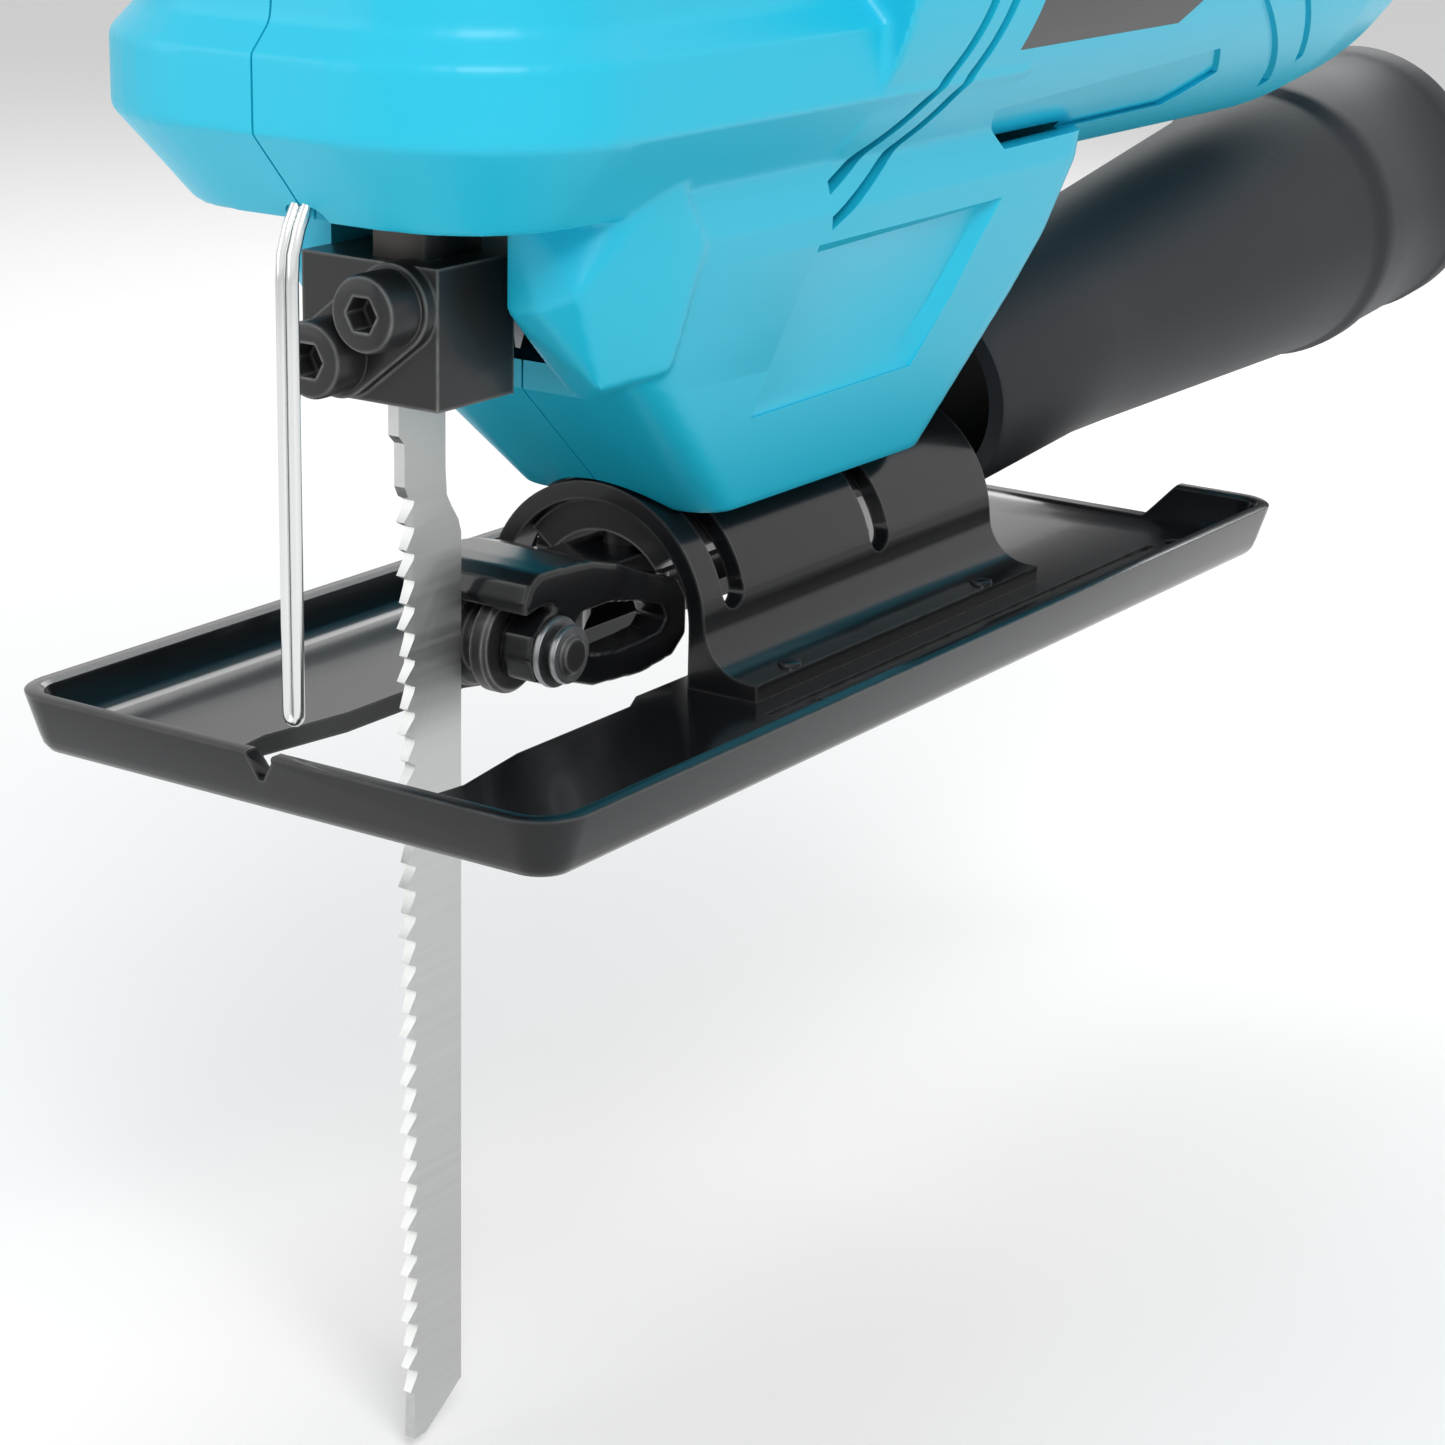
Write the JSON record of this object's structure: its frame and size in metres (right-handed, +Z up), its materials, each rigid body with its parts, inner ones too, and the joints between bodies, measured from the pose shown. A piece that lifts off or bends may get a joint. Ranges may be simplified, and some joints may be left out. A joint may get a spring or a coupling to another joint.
{
  "type": "jigsaw power tool",
  "caption": "Corded D-handle jigsaw with a tilting pressed-steel base, guide roller, screw blade clamp, geared plunger drive and pull-off dust tube.",
  "frame": {"origin": "where the blade's line crosses the plane of the sole", "axes": "+Z up out of the work, -Y the cutting direction, +X the saw's own left side"},
  "size_m": [0.063, 0.232, 0.25],
  "materials": {
    "turquoise_shell": "satin moulded plastic",
    "soft_grip": "fine-grained soft overmould",
    "dark_label": "satin sheet",
    "black_plastic": "moulded, fine grain",
    "tube_plastic": "moulded, fine grain",
    "dial_plastic": "satin",
    "black_enamel": "gloss black enamel on pressed steel",
    "black_oxide": "black oxide with worn edges",
    "bright_zinc": "bright zinc",
    "blade_steel": "satin ground steel",
    "steel": "machined steel",
    "dark_steel": "phosphated steel, worn by the guides",
    "bearing_steel": "polished",
    "laminations": "stacked steel sheet",
    "copper_wire": "enamelled copper",
    "copper": "turned copper",
    "brass": "pressed brass",
    "carbon": "pressed carbon",
    "bronze": "sintered bronze",
    "cast_alloy": "die cast",
    "board": "coated board"
  },
  "bodies": {
    "body": {"left_housing": "turquoise_shell", "right_housing": "turquoise_shell", "left_grip_pad": "soft_grip", "right_grip_pad": "soft_grip", "housing_screws": "black_oxide", "left_label_plate": "dark_label", "right_label_plate": "dark_label", "lower_plunger_guide": "bronze", "upper_plunger_guide": "bronze", "gear_case": "cast_alloy", "front_bearing": "bearing_steel", "rear_bearing": "bearing_steel", "rear_bearing_sleeve": "soft_grip", "motor_stator": "laminations", "stator_coils": "copper_wire", "brush_holders": "brass", "carbon_brushes": "carbon", "brush_springs": "steel", "fan_baffle": "black_plastic", "gear_axle": "steel", "switch_module": "black_plastic", "speed_board": "board", "cord_gland": "black_plastic", "cord_clamp": "steel", "wire_guard": "bright_zinc", "tilt_clamp_shoe": "black_oxide", "tilt_clamp_bolts": "black_oxide", "tilt_nut_plate": "steel", "roller_arm": "black_enamel", "roller_axle": "black_oxide", "roller_clips": "black_oxide"},
    "armature": {"armature_shaft": "steel", "armature_core": "laminations", "armature_windings": "copper_wire", "commutator": "copper", "cooling_fan": "black_plastic"},
    "crank_gear": {"drive_gear": "steel", "balance_weight": "steel", "crank_pin": "steel"},
    "plunger": {"plunger_bar": "dark_steel", "plunger_yoke": "steel", "yoke_rivets": "steel", "clamp_block": "black_oxide", "clamp_screws": "black_oxide", "saw_blade": "blade_steel"},
    "base": {"base_plate": "black_enamel", "tilt_saddle": "black_enamel", "saddle_rivets": "black_enamel"},
    "roller": {"guide_roller": "black_oxide"},
    "trigger": {"trigger": "black_plastic"},
    "button": {"lock_button": "black_plastic"},
    "dial": {"speed_dial": "dial_plastic"},
    "tube": {"dust_tube": "tube_plastic"}
  },
  "joints": [
    {"name": "plunger_stroke", "type": "slide", "parent": "body", "child": "plunger", "axis": [0, 0, 1], "range_m": [-0.018, 0]},
    {"name": "base_tilt", "type": "hinge", "parent": "body", "child": "base", "pos_m": [0, 0.054, 0.0079], "axis": [0, 1, 0], "range_deg": [-45, 45]},
    {"name": "roller_spin", "type": "hinge", "parent": "body", "child": "roller", "pos_m": [0, 0.0092, 0.0091], "axis": [1, 0, 0], "continuous": true},
    {"name": "armature_spin", "type": "hinge", "parent": "body", "child": "armature", "pos_m": [0, 0.08, 0.075], "axis": [0, 1, 0], "continuous": true},
    {"name": "gear_spin", "type": "hinge", "parent": "body", "child": "crank_gear", "pos_m": [0, 0.018, 0.0542], "axis": [0, 1, 0], "continuous": true},
    {"name": "trigger_pull", "type": "slide", "parent": "body", "child": "trigger", "axis": [0, 0, 1], "range_m": [0, 0.006], "stiffness_N_per_m": 600, "springref_m": -0.001},
    {"name": "lock_push", "type": "slide", "parent": "body", "child": "button", "axis": [1, 0, 0], "range_m": [-0.003, 0], "stiffness_N_per_m": 500, "springref_m": 0.001},
    {"name": "dial_turn", "type": "hinge", "parent": "trigger", "child": "dial", "pos_m": [0, 0.0574, 0.1386], "axis": [1, 0, 0], "range_deg": [0, 300]},
    {"name": "tube_pull", "type": "slide", "parent": "body", "child": "tube", "axis": [0, 1, 0], "range_m": [0, 0.04]}
  ],
  "couplings": [
    {"joint": "gear_spin", "follows": "armature_spin", "ratio": -0.15556}
  ]
}
